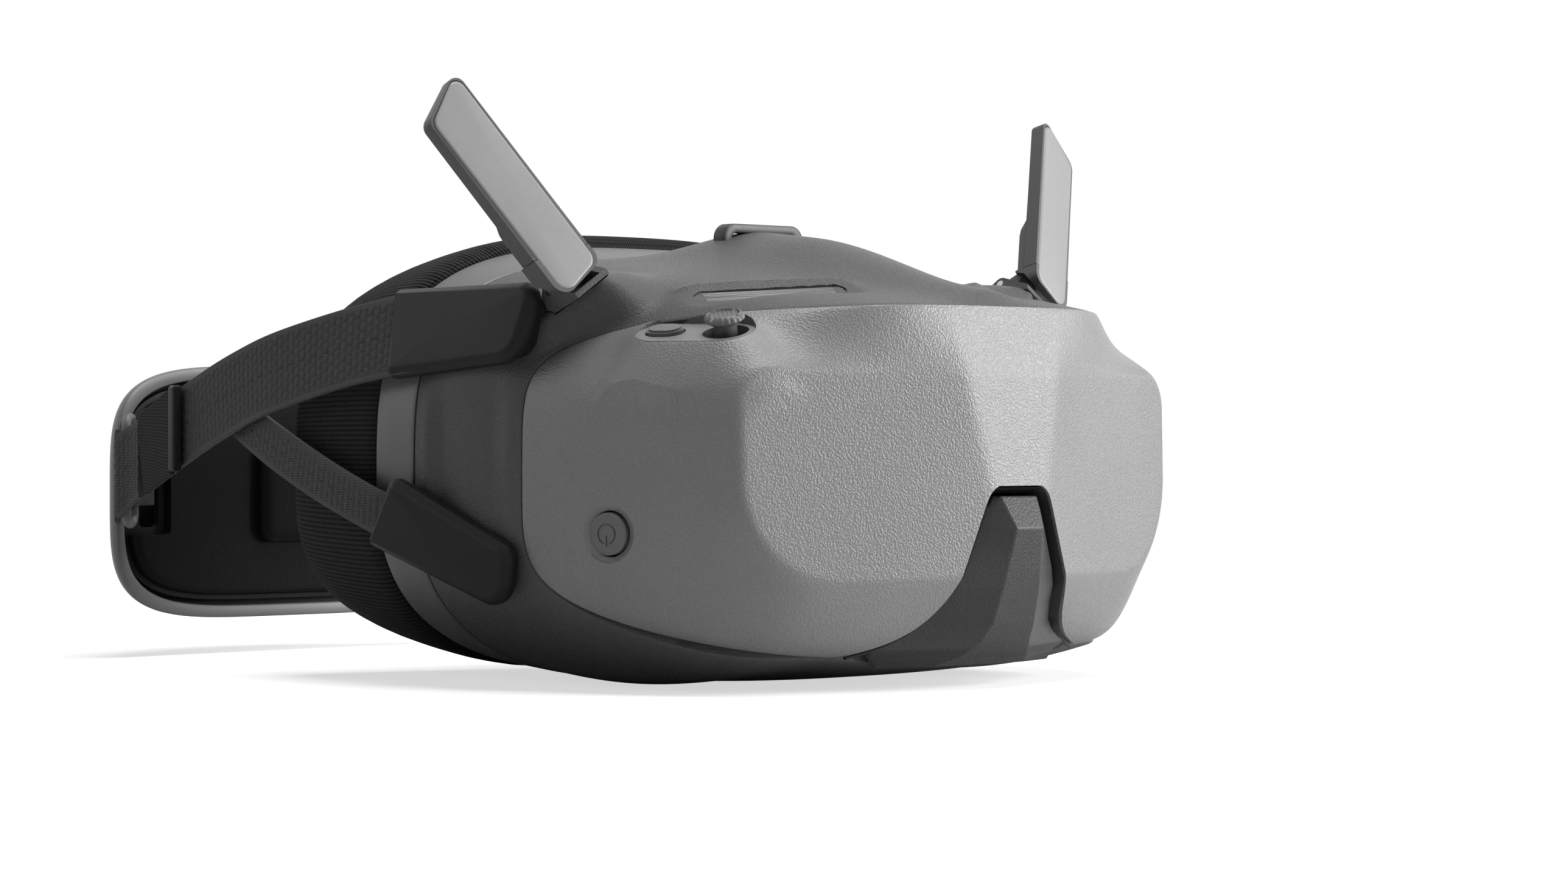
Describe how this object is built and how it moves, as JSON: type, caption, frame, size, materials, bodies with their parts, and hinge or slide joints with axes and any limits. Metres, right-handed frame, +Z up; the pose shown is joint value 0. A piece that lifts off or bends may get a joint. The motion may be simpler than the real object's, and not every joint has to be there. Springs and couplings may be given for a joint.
{
  "type": "fpv goggles",
  "caption": "Box-type goggles for flying a model aircraft by its camera, with folding antennas, strapped headband and battery pack behind the head.",
  "frame": {"origin": "on the flat underside that the goggles stand on, in the plane of symmetry, below the rear of the front cover", "axes": "+Z up; -Y towards the front of the goggles; the right hand of the wearer, with the controls, is on -X"},
  "size_m": [0.2436, 0.3173, 0.1528],
  "materials": {
    "cover_plastic": "fine leather grain",
    "housing_plastic": "fine leather grain",
    "smooth_plastic": "satin",
    "black_plastic": "matt",
    "antenna_face": "fine grain",
    "dark_plate": "satin",
    "steel": "satin",
    "lens": "clear",
    "display_glass": "gloss",
    "circuit_board": "satin",
    "knit_foam": "knitted cover over foam",
    "webbing": "woven",
    "hook_patch": "hook and loop",
    "pad_leather": "satin",
    "pack_plastic": "satin",
    "battery_wrap": "gloss",
    "mesh_metal": "satin"
  },
  "bodies": {
    "goggles": {"front_cover": "cover_plastic", "notch_trim": "black_plastic", "nose_wedge": "smooth_plastic", "main_housing": "housing_plastic", "rear_bezel": "smooth_plastic", "face_foam": "knit_foam", "lens_frame": "black_plastic", "main_lens": "lens", "viewing_tunnel": "black_plastic", "mainboard": "circuit_board", "fan_frame": "black_plastic", "vent_mesh_left": "mesh_metal", "vent_mesh_right": "mesh_metal", "top_strap_loop": "smooth_plastic", "usb_socket": "steel", "audio_jack": "steel", "control_board": "circuit_board", "antenna_seat_left": "dark_plate", "antenna_pin_left": "steel", "antenna_seat_right": "dark_plate", "antenna_pin_right": "steel", "upper_plate_left": "dark_plate", "upper_plate_right": "dark_plate", "lower_plate_left": "dark_plate", "lower_plate_right": "dark_plate", "plate_screws": "steel", "upper_strap_left": "webbing", "upper_strap_right": "webbing", "lower_strap_left": "webbing", "lower_strap_right": "webbing", "strap_end_left": "hook_patch", "strap_end_right": "hook_patch", "buckle_left": "smooth_plastic", "buckle_right": "smooth_plastic", "pack_loop_left": "webbing", "pack_loop_right": "webbing", "pack_shell": "pack_plastic", "pack_frame": "dark_plate", "pack_pad": "pad_leather", "pack_centre_pad": "pad_leather", "battery_cells": "battery_wrap", "battery_board": "circuit_board"},
    "antenna_left": {"antenna_base_left": "smooth_plastic", "antenna_front_left": "antenna_face", "antenna_back_left": "dark_plate"},
    "antenna_right": {"antenna_base_right": "smooth_plastic", "antenna_front_right": "antenna_face", "antenna_back_right": "dark_plate"},
    "stick_ring": {"stick_gimbal": "dark_plate"},
    "stick_post": {"stick_shaft": "steel"},
    "stick_top": {"stick_cap": "dark_plate"},
    "back_key": {"back_button": "dark_plate"},
    "power_key": {"power_button": "dark_plate"},
    "focus_stage": {"display_carriage": "black_plastic", "display_panel": "display_glass", "focus_slider": "black_plastic"},
    "fan_rotor": {"fan_impeller": "black_plastic"}
  },
  "joints": [
    {"name": "antenna_left_fold", "type": "hinge", "parent": "goggles", "child": "antenna_left", "pos_m": [0.08537, -0.00511, 0.10292], "axis": [0.8437, 0.0324, -0.5358], "range_deg": [-66, 0]},
    {"name": "antenna_right_fold", "type": "hinge", "parent": "goggles", "child": "antenna_right", "pos_m": [-0.08537, -0.00511, 0.10292], "axis": [0.8437, -0.0324, 0.5358], "range_deg": [-66, 0]},
    {"name": "stick_sideways", "type": "hinge", "parent": "goggles", "child": "stick_ring", "pos_m": [-0.07048, -0.0485, 0.08323], "axis": [-0.3987, 0.9171, 0], "range_deg": [-10, 10], "stiffness_Nm_per_rad": 0.01},
    {"name": "stick_fore_aft", "type": "hinge", "parent": "stick_ring", "child": "stick_post", "pos_m": [-0.07048, -0.0485, 0.08323], "axis": [-0.8722, -0.3792, -0.309], "range_deg": [-10, 10], "stiffness_Nm_per_rad": 0.01},
    {"name": "stick_press", "type": "slide", "parent": "stick_post", "child": "stick_top", "axis": [0.2834, 0.1232, -0.9511], "range_m": [0, 0.0005], "stiffness_N_per_m": 400},
    {"name": "back_press", "type": "slide", "parent": "goggles", "child": "back_key", "axis": [0.2834, 0.1232, -0.9511], "range_m": [0, 0.0006], "stiffness_N_per_m": 300},
    {"name": "power_press", "type": "slide", "parent": "goggles", "child": "power_key", "axis": [0.973, 0.23, 0.0209], "range_m": [0, 0.0006], "stiffness_N_per_m": 300},
    {"name": "display_focus", "type": "slide", "parent": "goggles", "child": "focus_stage", "axis": [0, 1, 0], "range_m": [-0.004, 0.004]},
    {"name": "fan_spin", "type": "hinge", "parent": "goggles", "child": "fan_rotor", "pos_m": [0, -0.0545, 0.0725], "axis": [0, 1, 0], "continuous": true}
  ]
}
